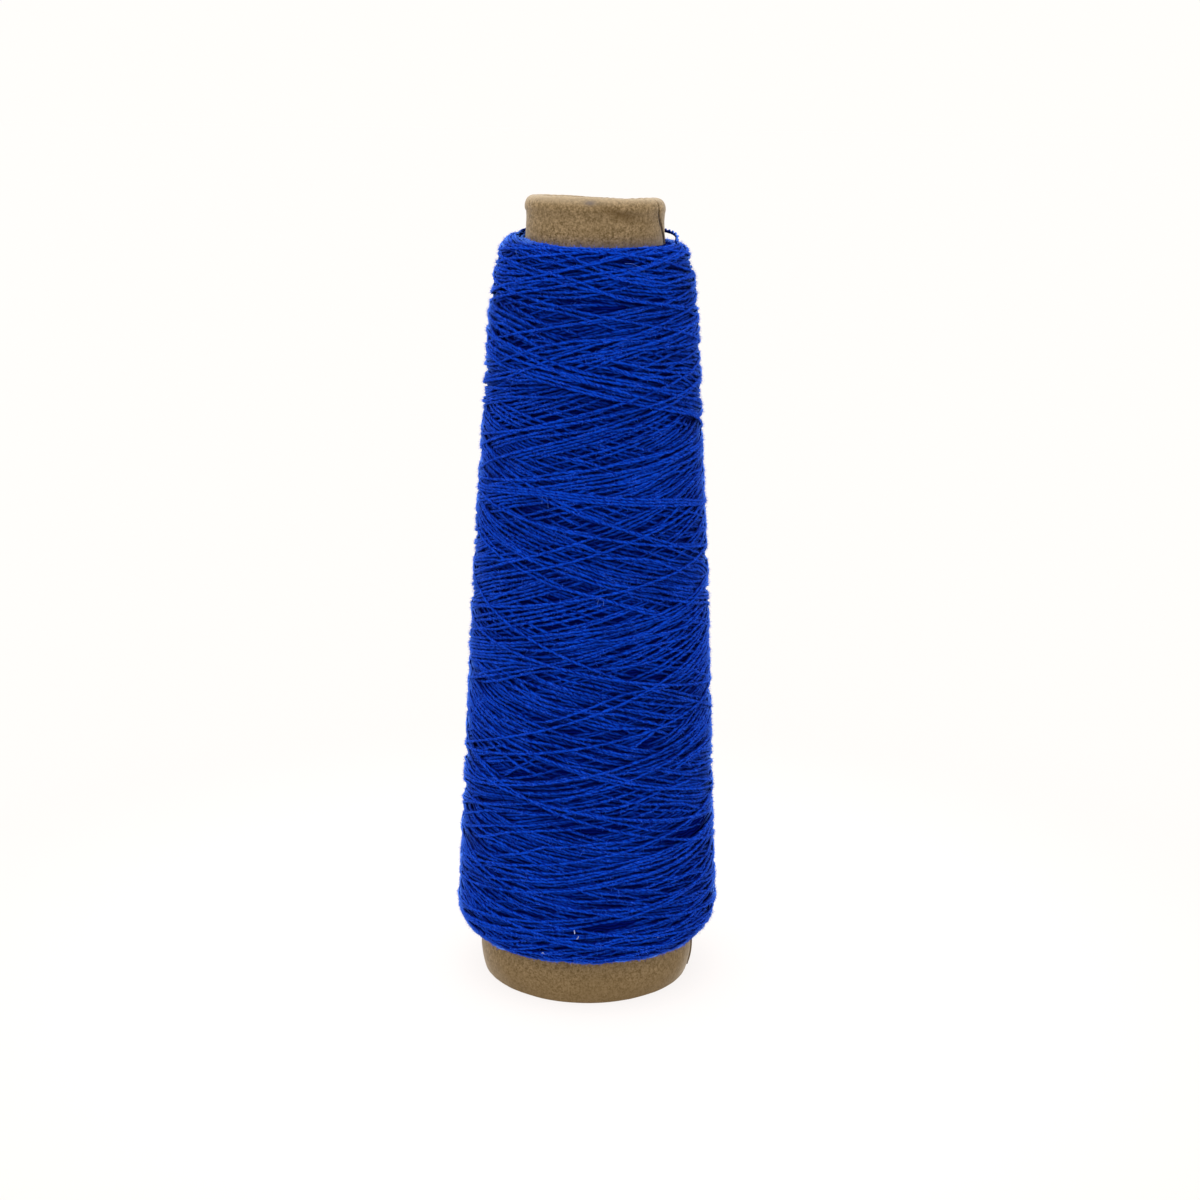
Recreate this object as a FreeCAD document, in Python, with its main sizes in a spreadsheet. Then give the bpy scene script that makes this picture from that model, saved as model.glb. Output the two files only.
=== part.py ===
# A cone of thread: a tapered paper cone with a rolled-in nose, cross-wound with one long strand.
# The cone stands on its foot at z = 0, centred on the z axis, nose up. Lengths are in millimetres.
# The front is towards -y, and bearings are degrees from +x towards +y.
import FreeCAD, Part
import math
import os
import Sketcher
from FreeCAD import Vector

doc = FreeCAD.newDocument("ThreadCone")

# Driving dimensions
driving = [
    # Paper cone
    ("cone_length", 170.0, "foot to top of the nose"),
    ("base_radius", 24.1, "outside of the wall, run down to the floor"),
    ("nose_radius", 13.9, "outside of the wall, run up to the top"),
    ("wall_thick", 1.8, "rolled paper wall"),
    ("lap_step", 0.35, "thickness of one ply, where the rolled sheet ends on the outside"),
    ("lap_bearing", -15.0, "where the sheet ends"),
    ("fold_slack", 0.3, "slack between the wall and the edge turned in at the nose"),
    ("bead_proud", 0.6, "how far the rolled nose stands out past nose_radius"),
    ("lip_depth", 6.0, "how far down inside the nose the turned-in edge reaches"),
    ("foot_slope", 0.5, "worn outer edge of the foot"),
    ("mouth_slope", 0.2, "inner edge of the foot"),
    # Wound thread: how high it reaches, and how thick it lies on the outside of the paper
    ("package_bottom", 10.9, "lower end of the winding"),
    ("waist_height", 139.0, "where the flank turns in towards the nose"),
    ("package_top", 161.8, "upper end of the winding"),
    ("wound_base", 5.75, "thread on the paper at the lower end"),
    ("wound_waist", 6.75, "thread on the paper where the flank turns in"),
    ("wound_nose", 5.5, "thread on the paper at the upper end"),
    # The plain body of thread under the outer turns
    ("cover_depth", 1.7, "how far under the outside the plain body stops"),
    ("lower_slope", 2.6, "taken off the body's lower edge"),
    ("upper_slope", 2.2, "taken off the body's upper edge"),
    ("seat_gap", 0.1, "between the paper and the thread wound on it"),
    # The strand and how it is laid
    ("strand_dia", 0.8, "two plies twisted together, over the corners of the section"),
    ("winding_sides", 4, "flats of the strand in the outer turns"),
    ("tail_sides", 5, "flats of the strand in the free end"),
    ("bed_gap", 0.1, "between the plain body and the lower turns"),
    ("crossing_gap", 0.45, "between turns that cross"),
    ("double_traverses", 1, "times the strand goes down and up again before its last way down"),
    ("wind_ratio", 6, "turns in one double traverse, before the offset that spreads them"),
    ("end_margin", 3.6, "from each end of the winding to where the traverse turns back"),
    ("end_lift", 0.03, "between the strand's cut ends and the plain body"),
    ("end_inset", 20.0, "degrees that keep the strand's ends off the turns that cross there"),
]

sheet = doc.addObject("Spreadsheet::Sheet", "Sizes")
size = {}
for row, (alias, value, note) in enumerate(driving, start=1):
    sheet.set(f"A{row}", note)
    sheet.set(f"B{row}", str(value))
    sheet.setAlias(f"B{row}", alias)
    size[alias] = value
doc.recompute()

# The rolled nose: the wall turned in on itself, with a little slack between the layers.
fold = size["wall_thick"] + size["fold_slack"] / 2
fold_text = "(Sizes.wall_thick + Sizes.fold_slack / 2)"
bead_height = size["cone_length"] - fold
bead_reach = size["nose_radius"] + size["bead_proud"] - fold

START, END, CENTRE = 1, 2, 3
ORIGIN = (-1, 1)
quarter_turn = math.pi / 2
taper = (size["base_radius"] - size["nose_radius"]) / size["cone_length"]
taper_text = "(Sizes.base_radius - Sizes.nose_radius) / Sizes.cone_length"


def wall_radius(height, offset=0.0):
    """Radius of the cone's outer wall at a height, moved out square to the wall by offset."""
    return size["base_radius"] - taper * height + offset * math.sqrt(1 + taper * taper)


# Helpers for bodies, sketches and their dimensions
def plane_of(body, role):
    return next(f for f in body.Origin.OriginFeatures if f.Role == role)


def make_body(name, label):
    body = doc.addObject("PartDesign::Body", name)
    body.Label = label
    return body


def make_sketch(body, name, role="XZ_Plane"):
    """A sketch on one of the body's own planes. On the upright one, x is the radius, y the height."""
    sketch = body.newObject("Sketcher::SketchObject", name)
    sketch.AttachmentSupport = [(plane_of(body, role), "")]
    sketch.MapMode = "FlatFace"
    return sketch


def line(sketch, start, end, construction=False):
    return sketch.addGeometry(Part.LineSegment(Vector(*start, 0), Vector(*end, 0)), construction)


def loop(sketch, *corners):
    """Straight lines round a list of corners, joined end to end."""
    lines = [line(sketch, a, b) for a, b in zip(corners, corners[1:] + corners[:1])]
    for first, second in zip(lines, lines[1:] + lines[:1]):
        join(sketch, (first, END), (second, START))
    return lines


def join(sketch, first, second):
    sketch.addConstraint(Sketcher.Constraint("Coincident", *first, *second))


def level(sketch, *lines):
    for item in lines:
        sketch.addConstraint(Sketcher.Constraint("Horizontal", item))


def upright(sketch, *lines):
    for item in lines:
        sketch.addConstraint(Sketcher.Constraint("Vertical", item))


def driven(sketch, name, expression, *args):
    """A dimension of the sketch that follows the sheet."""
    index = sketch.addConstraint(Sketcher.Constraint(*args))
    sketch.renameConstraint(index, name)
    sketch.setExpression(f"Constraints.{name}", expression)


def place(sketch, name, end, across=None, up=None):
    """Ties a point to a distance across and up from the origin, each a pair of text and value."""
    if across:
        driven(sketch, name + "_across", across[0], "DistanceX", *ORIGIN, *end, across[1])
    if up:
        driven(sketch, name + "_up", up[0], "DistanceY", *ORIGIN, *end, up[1])


def wall_guide(sketch):
    """A construction line along the outside of the cone's wall, from the floor to the top."""
    guide = line(sketch, (size["base_radius"], 0), (size["nose_radius"], size["cone_length"]), True)
    sketch.addConstraint(Sketcher.Constraint("PointOnObject", guide, START, -1))
    place(sketch, "base", (guide, START), ("Sizes.base_radius", size["base_radius"]))
    place(
        sketch, "nose", (guide, END),
        ("Sizes.nose_radius", size["nose_radius"]), ("Sizes.cone_length", size["cone_length"]),
    )
    return guide


def turn(body, kind, sketch, name):
    """Turns a sketch about the z axis, to add material or take it away."""
    solid = body.newObject(kind, name)
    solid.Profile = sketch
    solid.ReferenceAxis = (sketch, ["V_Axis"])
    solid.Angle = 360.0
    body.Tip = solid
    return solid


# Paper cone
def ply_outline(body, name, radius_text, radius, height_text, height):
    """The outside of the rolled sheet at a height: four quarter arcs, each a little larger than
    the one before, so that the end of the sheet stands proud by one ply."""
    sketch = make_sketch(body, name, "XY_Plane")
    bearing = FreeCAD.Rotation(Vector(0, 0, 1), size["lap_bearing"])
    sketch.AttachmentOffset = FreeCAD.Placement(Vector(0, 0, height), bearing)
    sketch.setExpression("AttachmentOffset.Base.z", height_text)
    sketch.setExpression("AttachmentOffset.Rotation.Angle", "Sizes.lap_bearing")
    shift = size["lap_step"] / 8
    arcs = []
    centres = [(-shift, shift), (-shift, -shift), (shift, -shift), (shift, shift)]
    for quarter, (x, y) in enumerate(centres):
        reach = radius + (quarter - 1.5) * 2 * shift
        begin = quarter * quarter_turn
        circle = Part.Circle(Vector(x, y, 0), Vector(0, 0, 1), reach)
        arc = sketch.addGeometry(Part.ArcOfCircle(circle, begin, begin + quarter_turn))
        for kind, value in (("DistanceX", x), ("DistanceY", y)):
            text = "Sizes.lap_step / 8" if value > 0 else "-Sizes.lap_step / 8"
            driven(sketch, f"{kind}{quarter}", text, kind, *ORIGIN, arc, CENTRE, value)
        across = "Vertical" if quarter % 2 == 0 else "Horizontal"
        sketch.addConstraint(Sketcher.Constraint(across, arc, CENTRE, arc, END))
        arcs.append(arc)
    step = line(sketch, (radius + 4 * shift, shift), (radius - 4 * shift, shift))
    for first, second in zip(arcs + [step], arcs[1:] + [step, arcs[0]]):
        join(sketch, (first, END), (second, START))
    sketch.addConstraint(Sketcher.Constraint("Horizontal", arcs[0], CENTRE, arcs[0], START))
    driven(
        sketch, "reach", f"{radius_text} - 3 * Sizes.lap_step / 8",
        "Radius", arcs[0], radius - 3 * shift,
    )
    return sketch


def make_paper_cone():
    body = make_body("PaperCone", "paper_cone")

    # The rolled sheet, solid at first, from the floor to the widest level of the nose bead.
    top_text = f"Sizes.cone_length - {fold_text}"
    foot = ply_outline(body, "FootOutline", "Sizes.base_radius", size["base_radius"], "0 mm", 0)
    top = ply_outline(
        body, "TopOutline", f"Sizes.base_radius - {taper_text} * ({top_text})",
        wall_radius(bead_height), top_text, bead_height,
    )
    rolled = body.newObject("PartDesign::AdditiveLoft", "RolledSheet")
    rolled.Profile = foot
    rolled.Sections = [top]
    rolled.Ruled = True
    body.Tip = rolled

    # The hollow, with the slope at its mouth, and the worn outer edge of the foot.
    sketch = make_sketch(body, "HollowProfile")
    guide = wall_guide(sketch)
    wall, mouth, worn = size["wall_thick"], size["mouth_slope"], size["foot_slope"]
    axis, mouth_line, slope, inside, cover = loop(
        sketch, (0, bead_height), (0, 0), (wall_radius(0, -wall) + mouth, 0),
        (wall_radius(mouth, -wall), mouth), (wall_radius(bead_height, -wall), bead_height),
    )
    upright(sketch, axis)
    level(sketch, mouth_line, cover)
    sketch.addConstraint(Sketcher.Constraint("Coincident", axis, END, *ORIGIN))
    sketch.addConstraint(Sketcher.Constraint("Parallel", inside, guide))
    driven(sketch, "wall", "Sizes.wall_thick", "Distance", inside, START, guide, wall)
    place(sketch, "cover", (axis, START), None, (top_text, bead_height))
    place(sketch, "mouth", (slope, END), None, ("Sizes.mouth_slope", mouth))
    driven(sketch, "slope", "Sizes.mouth_slope", "DistanceX", slope, END, slope, START, mouth)
    outside = size["base_radius"] + wall
    floor_line, outer, corner = loop(
        sketch, (size["base_radius"] - worn, 0), (outside, 0), (outside, wall + worn)
    )
    level(sketch, floor_line)
    upright(sketch, outer)
    sketch.addConstraint(Sketcher.Constraint("Equal", floor_line, outer))
    sketch.addConstraint(Sketcher.Constraint("PointOnObject", floor_line, START, -1))
    worn_text = "Sizes.base_radius - Sizes.foot_slope"
    place(sketch, "worn", (floor_line, START), (worn_text, size["base_radius"] - worn))
    place(sketch, "outside", (floor_line, END), ("Sizes.base_radius + Sizes.wall_thick", outside))
    doc.recompute()
    hollow = turn(body, "PartDesign::Groove", sketch, "Hollow")
    doc.recompute()
    if hollow.Shape.Volume > 0.5 * rolled.Shape.Volume:
        raise RuntimeError("the hollow of the cone was not taken away")

    # The rolled nose: the bead, and the edge of the sheet that goes down inside it.
    sketch = make_sketch(body, "NoseProfile")
    guide = wall_guide(sketch)
    lip_height = size["cone_length"] - size["lip_depth"]
    bead = sketch.addGeometry(Part.ArcOfCircle(
        Part.Circle(Vector(bead_reach, bead_height, 0), Vector(0, 0, 1), fold), 0, math.pi
    ))
    on_wall = (wall_radius(bead_height - fold), bead_height - fold)
    land = line(sketch, (bead_reach - fold, bead_height), (bead_reach - fold, lip_height))
    lip_end = line(sketch, (bead_reach - fold, lip_height), (bead_reach, lip_height))
    in_wall = line(sketch, (bead_reach, lip_height), on_wall)
    under = line(sketch, on_wall, (bead_reach + fold, bead_height))
    for first, second in ((land, lip_end), (lip_end, in_wall), (in_wall, under), (under, bead)):
        join(sketch, (first, END), (second, START))
    sketch.addConstraint(Sketcher.Constraint("Tangent", bead, END, land, START))
    sketch.addConstraint(Sketcher.Constraint("Horizontal", bead, CENTRE, bead, START))
    sketch.addConstraint(Sketcher.Constraint("PointOnObject", in_wall, END, guide))
    upright(sketch, land)
    level(sketch, lip_end)
    driven(sketch, "fold", fold_text, "Radius", bead, fold)
    reach_text = f"Sizes.nose_radius + Sizes.bead_proud - {fold_text}"
    place(sketch, "bead", (bead, CENTRE), (reach_text, bead_reach), (top_text, bead_height))
    place(sketch, "lip", (lip_end, START), None, ("Sizes.cone_length - Sizes.lip_depth", lip_height))
    driven(sketch, "lip_across", reach_text, "DistanceX", *ORIGIN, lip_end, END, bead_reach)
    on_wall_text = f"Sizes.cone_length - 2 * {fold_text}"
    driven(sketch, "on_wall", on_wall_text, "DistanceY", *ORIGIN, in_wall, END, on_wall[1])
    turn(body, "PartDesign::Revolution", sketch, "RolledNose")
    return body


# Plain body of wound thread
# Its flank runs through three corners, each at a height and with so much thread on the paper there.
flank_corners = {
    "low": ("package_bottom", "wound_base"),
    "waist": ("waist_height", "wound_waist"),
    "high": ("package_top", "wound_nose"),
}


def flank_corner(name):
    """Radius and height of a corner of the plain body's flank, under the outer turns."""
    level_name, depth = flank_corners[name]
    return wall_radius(size[level_name]) + size[depth] - size["cover_depth"], size[level_name]


def make_thread_package():
    body = make_body("ThreadPackage", "thread_package")
    sketch = make_sketch(body, "PackageProfile")
    guide = wall_guide(sketch)
    seat = size["seat_gap"] + size["lap_step"] / 2
    low, waist, high = [flank_corner(name) for name in flank_corners]
    lower_end, flank, shoulder, upper_end, on_paper = loop(
        sketch, (wall_radius(low[1], seat), low[1]), low, waist, high,
        (wall_radius(high[1], seat), high[1]),
    )
    level(sketch, lower_end, upper_end)
    sketch.addConstraint(Sketcher.Constraint("Parallel", on_paper, guide))
    seat_text = "Sizes.seat_gap + Sizes.lap_step / 2"
    driven(sketch, "seat", seat_text, "Distance", on_paper, START, guide, seat)
    for name, drawn in (("low", flank), ("waist", shoulder), ("high", upper_end)):
        level_name, depth = flank_corners[name]
        wall_text = f"Sizes.base_radius - {taper_text} * Sizes.{level_name}"
        radius, height = flank_corner(name)
        place(
            sketch, name, (drawn, START),
            (f"{wall_text} + Sizes.{depth} - Sizes.cover_depth", radius),
            (f"Sizes.{level_name}", height),
        )
    turned = turn(body, "PartDesign::Revolution", sketch, "PackageTurned")
    slope_edge(body, turned, "LowerSlope", low, "lower_slope")
    slope_edge(body, body.Tip, "UpperSlope", high, "upper_slope")
    return body


def slope_edge(body, base, name, corner, alias):
    """Takes a slope off the edge that a corner of the profile has drawn."""
    doc.recompute()
    radius, height = corner
    near = 0.001
    edge = next(
        f"Edge{number}" for number, edge in enumerate(base.Shape.Edges, start=1)
        if isinstance(edge.Curve, Part.Circle)
        and abs(edge.Curve.Center.z - height) < near and abs(edge.Curve.Radius - radius) < near
    )
    slope = body.newObject("PartDesign::Chamfer", name)
    slope.Base = (base, [edge])
    slope.Size = size[alias]
    slope.setExpression("Size", f"Sizes.{alias}")
    body.Tip = slope


# Outer turns: one strand that goes down and up the flank and crosses over itself
def on_flank(height, bearing, lift):
    """Where a strand lies at a height of the flank, and the way out from it."""
    low, waist, high = [flank_corner(name) for name in flank_corners]
    first, last = (low, waist) if height < waist[1] else (waist, high)
    lean = (first[0] - last[0]) / (last[1] - first[1])
    radius = first[0] - lean * (height - first[1])
    around = Vector(math.cos(bearing), math.sin(bearing), 0)
    outward = (around + Vector(0, 0, lean)).normalize()
    return around * radius + Vector(0, 0, height) + outward * lift, outward


def biarc(start, start_way, end, end_way):
    """Two arcs that leave start along start_way and reach end along end_way, each as three points."""
    across = end - start
    both = start_way + end_way
    bend = 2 * (1 - start_way.dot(end_way))
    along = across.dot(both)
    reach = (math.sqrt(along ** 2 + bend * across.dot(across)) - along) / bend
    middle = (start + end + (start_way - end_way) * reach) / 2
    arcs = []
    for first, corner, last in (
        (start, start + start_way * reach, middle), (middle, end - end_way * reach, end)
    ):
        weight = (corner - first).normalize().dot((last - first).normalize())
        crown = (first + corner * 2 * weight + last) / (2 + 2 * weight)
        arcs.append((first, crown, last))
    return arcs


low_lift = size["bed_gap"] + size["strand_dia"] / 2
high_lift = low_lift + size["strand_dia"] + size["crossing_gap"]


def winding_nodes():
    """Points on the strand, a quarter turn or less apart, each with its way along and its way out.
    The strand lies high on its way down and low on its way up, so that it crosses itself freely,
    and it changes from one to the other where it turns back."""
    passes = 2 * int(size["double_traverses"]) + 1
    spread = 1 / (size["double_traverses"] + 1)
    sweep = math.pi * (size["wind_ratio"] - spread)
    turn_back = min(quarter_turn / 2, math.pi * spread)
    inset = math.radians(size["end_inset"])
    small = 0.0001
    bottom = size["package_bottom"] + size["end_margin"]
    top = size["package_top"] - size["end_margin"]
    spans = math.ceil((sweep - 2 * turn_back) / quarter_turn)
    nodes = []
    for number in range(passes):
        goes_down = number % 2 == 0
        lift = high_lift if goes_down else low_lift
        first, last = (top, bottom) if goes_down else (bottom, top)
        begin = turn_back + (inset if number == 0 else 0)
        end = sweep - turn_back - (inset if number == passes - 1 else 0)
        for k in range(spans + 1):
            turned = begin + k * (end - begin) / spans
            before, here, after = [
                on_flank(first + (last - first) * at / sweep, number * sweep + at, lift)
                for at in (turned - small, turned, turned + small)
            ]
            nodes.append((here[0], (after[0] - before[0]).normalize(), here[1]))
    return nodes


def strand_end(point, way, outward):
    """The strand's end, from the point back to the plain body: a bend, and a straight square to it."""
    bend = high_lift - size["strand_dia"] - size["end_lift"]
    hub = point - outward * bend
    foot = hub - way * bend
    crown = hub + (outward - way) * (bend / math.sqrt(2))
    return [(foot - outward * size["strand_dia"], foot), (foot, crown, point)]


def winding_wire():
    nodes = winding_nodes()
    pieces = strand_end(*nodes[0])
    for (start, start_way, _), (end, end_way, _) in zip(nodes, nodes[1:]):
        pieces += biarc(start, start_way, end, end_way)
    last, way, outward = nodes[-1]
    pieces += [piece[::-1] for piece in reversed(strand_end(last, way * -1, outward))]
    return Part.Wire([
        (Part.LineSegment(*piece) if len(piece) == 2 else Part.Arc(*piece)).toShape() for piece in pieces
    ])


def least_gap(wire, thickness):
    """The least clear distance between points of the wire that are some way apart along it."""
    spacing, apart, cell = 0.5, 20.0, 4 * thickness
    near = [(x, y, z) for x in (-1, 0, 1) for y in (-1, 0, 1) for z in (-1, 0, 1)]
    seen, travelled, least = {}, 0.0, math.inf
    for edge in wire.OrderedEdges:
        steps = max(1, int(edge.Length / spacing))
        for k in range(steps):
            along = edge.Length * k / steps
            point = edge.valueAt(edge.getParameterByLength(along))
            home = tuple(int(value // cell) for value in point)
            for x, y, z in near:
                for other, when in seen.get((home[0] + x, home[1] + y, home[2] + z), ()):
                    if travelled + along - when > apart:
                        least = min(least, (point - other).Length)
            seen.setdefault(home, []).append((point, travelled + along))
        travelled += edge.Length
    return least - thickness


def sweep_strand(name, label, wire, sides):
    """A strand along a wire, its flats and its thickness tied to the sheet."""
    path = doc.addObject("Part::Feature", name + "Path")
    path.Shape = wire
    first = wire.OrderedEdges[0]
    section = doc.addObject("Part::RegularPolygon", name + "Section")
    section.setExpression("Polygon", f"Sizes.{sides}")
    section.setExpression("Circumradius", "Sizes.strand_dia / 2")
    way = first.tangentAt(first.FirstParameter)
    section.Placement = FreeCAD.Placement(
        first.valueAt(first.FirstParameter), FreeCAD.Rotation(Vector(0, 0, 1), way)
    )
    strand = doc.addObject("Part::Sweep", name)
    strand.Sections = [section]
    strand.Spine = (path, [f"Edge{number}" for number in range(1, len(wire.Edges) + 1)])
    strand.Solid = True
    strand.Frenet = False
    strand.Label = label
    doc.recompute()
    share = strand.Shape.Volume / (Part.Face(section.Shape).Area * wire.Length)
    print(f"{label}: {wire.Length:.1f} mm long, its volume {share:.4f} of section times length")
    return strand


def make_outer_winding():
    wire = winding_wire()
    arcs = [edge for edge in wire.Edges if isinstance(edge.Curve, Part.Circle)]
    loops = sum(edge.Length / edge.Curve.Radius for edge in arcs) / (2 * math.pi)
    gap = least_gap(wire, size["strand_dia"])
    print(f"outer_winding: {loops:.1f} loops, least gap to itself {gap:.2f} mm")
    return sweep_strand("OuterWinding", "outer_winding", wire, "winding_sides")


# Free end of the thread
# It comes up out of the upper shoulder on the right, arches over to the nose, runs loosely
# round the back of the nose and goes down into the end of the winding on the left.
tail_route = [
    (16.95, -2.10, 161.45),
    (17.35, -0.85, 162.35),
    (16.90, 1.05, 163.00),
    (15.80, 3.65, 163.35),
    (13.40, 8.10, 163.55),
    (8.60, 13.20, 163.55),
    (1.60, 15.60, 163.45),
    (-5.80, 14.60, 163.40),
    (-11.60, 10.50, 163.35),
    (-14.75, 5.60, 163.15),
    (-15.65, 2.50, 162.75),
    (-15.80, 0.45, 162.00),
]


def rounded_route(points):
    """Straight runs joined by tangent arcs, each as large as its two runs allow."""
    share_of_run = 0.45
    corners = [Vector(*point) for point in points]
    edges, radii = [], []
    leave = corners[0]
    for before, corner, after in zip(corners, corners[1:], corners[2:]):
        back, on = before - corner, after - corner
        cut = share_of_run * min(back.Length, on.Length)
        back.normalize()
        on.normalize()
        half_turn = (math.pi - back.getAngle(on)) / 2
        radius = cut / math.tan(half_turn)
        first, last = corner + back * cut, corner + on * cut
        crown = corner + (back + on).normalize() * (radius / math.cos(half_turn) - radius)
        edges.append(Part.LineSegment(leave, first).toShape())
        edges.append(Part.Arc(first, crown, last).toShape())
        radii.append(radius)
        leave = last
    edges.append(Part.LineSegment(leave, corners[-1]).toShape())
    return Part.Wire(edges), radii


def make_thread_tail():
    wire, radii = rounded_route(tail_route)
    print("thread_tail: radii", ", ".join(f"{radius:.1f}" for radius in radii))
    return sweep_strand("ThreadTail", "thread_tail", wire, "tail_sides")


# Build, check and write
pieces = [make_paper_cone(), make_thread_package(), make_outer_winding(), make_thread_tail()]
doc.recompute()

for item in doc.Objects:
    if "Invalid" in item.State or "Error" in item.State:
        raise RuntimeError(f"{item.Label} did not compute: {item.State}")
for piece in pieces:
    if piece.Shape.isNull() or not piece.Shape.isValid():
        raise RuntimeError(f"{piece.Label} has no valid shape")

os.makedirs("parts", exist_ok=True)
for piece in pieces:
    print(f"{piece.Label}: {len(piece.Shape.Solids)} solid, {piece.Shape.Volume / 1000:.2f} cm3")
    piece.Shape.exportStep(f"parts/{piece.Label}.step")
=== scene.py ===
# A cone of blue thread: the rolled paper cone, the crossing layers wound on it and the free end.
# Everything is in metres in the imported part's frame: the foot stands on z = 0, the front is -y.
import math

import bpy
import numpy as np
from mathutils import Matrix


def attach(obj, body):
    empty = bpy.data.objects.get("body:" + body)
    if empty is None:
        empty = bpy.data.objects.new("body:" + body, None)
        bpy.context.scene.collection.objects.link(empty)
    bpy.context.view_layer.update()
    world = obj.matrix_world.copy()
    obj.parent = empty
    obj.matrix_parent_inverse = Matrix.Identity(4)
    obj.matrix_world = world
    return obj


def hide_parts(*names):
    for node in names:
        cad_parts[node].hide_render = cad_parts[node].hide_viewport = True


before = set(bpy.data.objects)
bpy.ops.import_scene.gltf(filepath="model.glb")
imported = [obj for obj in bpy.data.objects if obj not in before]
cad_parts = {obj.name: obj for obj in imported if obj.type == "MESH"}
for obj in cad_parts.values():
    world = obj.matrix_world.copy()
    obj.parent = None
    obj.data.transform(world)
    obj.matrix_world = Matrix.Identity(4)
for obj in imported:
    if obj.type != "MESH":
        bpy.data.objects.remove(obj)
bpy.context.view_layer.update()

mm = 0.001
print("frame loaded:", ", ".join(sorted(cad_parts)))

# meshes and curves


def addObject(name, data):
    thing = bpy.data.objects.new(name, data)
    bpy.context.scene.collection.objects.link(thing)
    return thing


def meshFrom(name, points, edges=(), faces=()):
    mesh = bpy.data.meshes.new(name)
    mesh.from_pydata(points, edges, faces)
    mesh.update()
    return mesh


def setAttribute(mesh, name, values):
    # a number or a vector for each point
    isVector = values.shape == (len(mesh.vertices), 3)
    layer = mesh.attributes.new(name, "FLOAT_VECTOR" if isVector else "FLOAT", "POINT")
    layer.data.foreach_set("vector" if isVector else "value", values.ravel())


def tidied(mesh):
    # smooth shading, and faces that look outward
    mesh.polygons.foreach_set("use_smooth", np.ones(len(mesh.polygons), bool))
    corners = np.empty(len(mesh.vertices) * 3)
    mesh.vertices.foreach_get("co", corners)
    corners = corners.reshape(-1, 3)
    mesh.calc_loop_triangles()
    triangles = np.empty(len(mesh.loop_triangles) * 3, int)
    mesh.loop_triangles.foreach_get("vertices", triangles)
    a, b, c = corners[triangles.reshape(-1, 3)].transpose(1, 0, 2)
    if np.einsum("ij,ij->i", a, np.cross(b, c)).sum() < 0:
        mesh.flip_normals()
    return mesh


def smoothLine(points, samples):
    # a line through all the points, without corners
    points = np.array(points, float)
    before = np.vstack([2 * points[0] - points[1], points, 2 * points[-1] - points[-2]])
    share = np.linspace(0, 1, samples, endpoint=False)[:, None]
    fine = [
        0.5 * (
            2 * b + (c - a) * share + (2 * a - 5 * b + 4 * c - d) * share ** 2
            + (3 * b - a - 3 * c + d) * share ** 3
        )
        for a, b, c, d in zip(before, before[1:], before[2:], before[3:])
    ]
    return np.vstack(fine + [points[-1:]])


def lengthsAlong(points):
    return np.concatenate([[0], np.cumsum(np.linalg.norm(np.diff(points, axis=0), axis=1))])


def evenPoints(points, step):
    along = lengthsAlong(points)
    even = np.linspace(0, along[-1], max(2, round(along[-1] / step) + 1))
    return np.stack([np.interp(even, along, points[:, k]) for k in range(points.shape[1])], 1)


def eased(share):
    return share * share * (3 - 2 * share)


def ramp(values, start, end):
    # 0 up to the start, 1 from the end on, and a straight line between them
    return np.clip((values - start) / (end - start), 0, 1)


# node trees


def feed(tree, socket, value):
    if isinstance(value, bpy.types.NodeSocket):
        tree.links.new(value, socket)
    elif isinstance(value, tuple) and len(value) == 3 and socket.type == "RGBA":
        socket.default_value = (*value, 1.0)
    else:
        socket.default_value = value


def node(tree, kind, inputs=(), **settings):
    # a node with its settings, and what goes into it by the socket's name or number
    made = tree.nodes.new(kind)
    for name, value in settings.items():
        setattr(made, name, value)
    for socket, value in dict(inputs).items():
        feed(tree, made.inputs[socket], value)
    return made


def maths(tree, operation, *values):
    return node(tree, "ShaderNodeMath", enumerate(values), operation=operation).outputs[0]


def vectors(tree, operation, *values):
    made = node(tree, "ShaderNodeVectorMath", enumerate(values), operation=operation)
    return made.outputs["Value" if operation in ("DOT_PRODUCT", "LENGTH") else "Vector"]


def rescale(tree, value, low, high, newLow=0.0, newHigh=1.0, smooth=False):
    numbers = enumerate((value, low, high, newLow, newHigh))
    kind = "SMOOTHSTEP" if smooth else "LINEAR"
    return node(tree, "ShaderNodeMapRange", numbers, interpolation_type=kind).outputs[0]


def noise(tree, places, scale, detail=2.0, roughness=0.5):
    inputs = {"Vector": places, "Scale": scale, "Detail": detail, "Roughness": roughness}
    return node(tree, "ShaderNodeTexNoise", inputs).outputs["Fac"]


def mixColour(tree, share, first, second):
    inputs = {"Factor": share, 6: first, 7: second}
    return node(tree, "ShaderNodeMix", inputs, data_type="RGBA").outputs[2]


def bump(tree, height, distance, strength=1.0):
    inputs = {"Strength": strength, "Distance": distance, "Height": height}
    return node(tree, "ShaderNodeBump", inputs).outputs["Normal"]


def attribute(tree, name, output="Fac"):
    return node(tree, "ShaderNodeAttribute", attribute_name=name).outputs[output]


def storedValue(tree, name, kind="FLOAT"):
    # the same for a Geometry Nodes tree
    made = node(tree, "GeometryNodeInputNamedAttribute", data_type=kind)
    feed(tree, made.inputs["Name"], name)
    return made.outputs["Attribute"]


def objectPlaces(tree):
    return node(tree, "ShaderNodeTexCoord").outputs["Object"]


def xyz(tree, vector):
    return node(tree, "ShaderNodeSeparateXYZ", {0: vector}).outputs


def combined(tree, x, y, z=0.0):
    return node(tree, "ShaderNodeCombineXYZ", {0: x, 1: y, 2: z}).outputs[0]


def newMaterial(name, **plain):
    # plain values go on the shader's own sockets
    material = bpy.data.materials.new(name)
    material.use_nodes = True
    shader = material.node_tree.nodes["Principled BSDF"]
    for socket, value in plain.items():
        shader.inputs[socket.replace("_", " ")].default_value = value
    return material, material.node_tree, shader


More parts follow.
